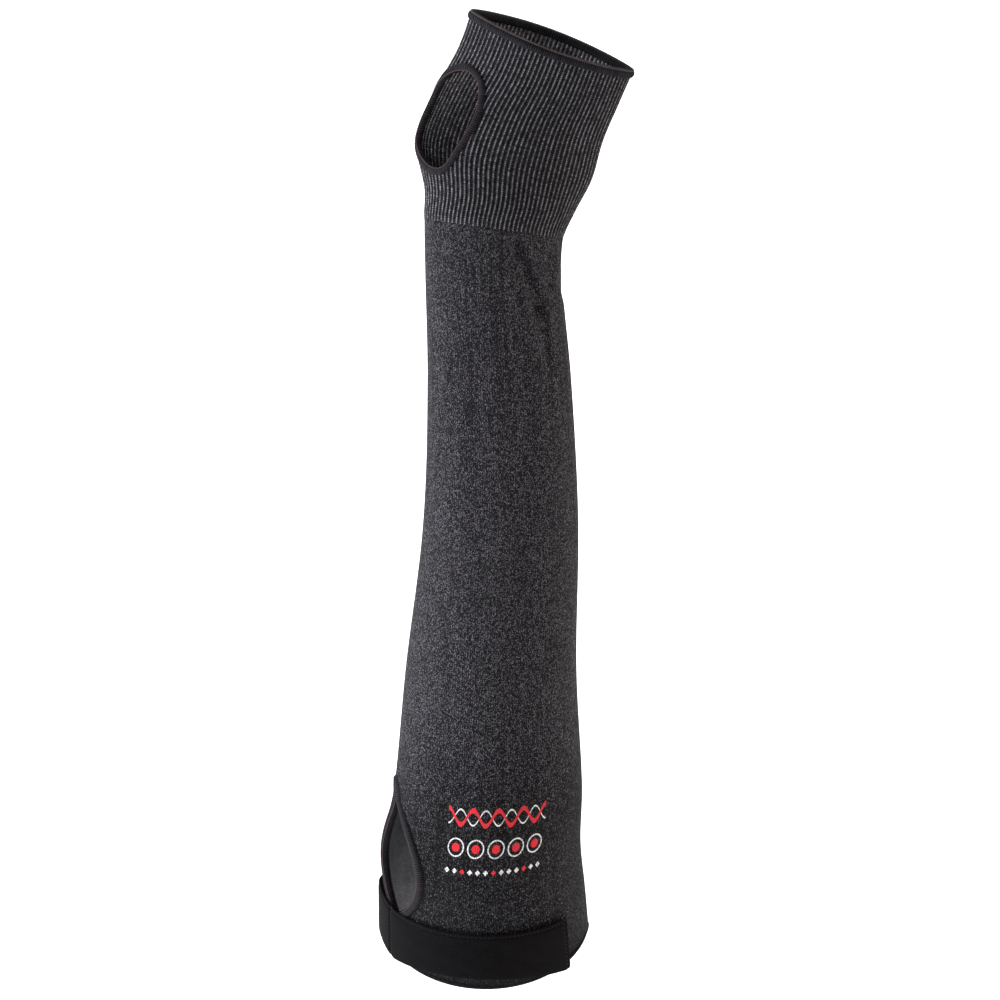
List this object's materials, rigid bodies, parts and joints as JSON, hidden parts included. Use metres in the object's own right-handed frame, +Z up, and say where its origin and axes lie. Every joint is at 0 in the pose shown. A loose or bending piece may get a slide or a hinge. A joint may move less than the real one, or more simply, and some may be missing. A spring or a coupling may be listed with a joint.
{
  "type": "cut resistant sleeve",
  "caption": "Black knitted cut resistant arm sleeve with a ribbed hand cuff, bound thumb hole, bound slit and an adjusting strap at the arm opening.",
  "frame": {"origin": "centre of the arm opening, in the plane of its hem", "axes": "+Z up the arm to the hand end, -Y to the front of the sleeve, -X to the side of the thumb hole and the slit"},
  "size_m": [0.1458, 0.1427, 0.5633],
  "materials": {
    "jersey_knit": "heathered black jersey, matte",
    "rib_knit": "heathered black rib knit, matte",
    "binding": "overlocked black thread, matte",
    "strap_elastic": "smooth black elastic, matte with a soft sheen",
    "hook_nylon": "black nylon hooks, matte"
  },
  "bodies": {
    "root": {"sleeve_body": "jersey_knit", "rib_cuff": "rib_knit", "hand_binding": "binding", "thumb_binding": "binding", "slit_binding": "binding", "hem_binding": "binding", "strap": "strap_elastic", "hook_tape": "hook_nylon"}
  },
  "joints": []
}
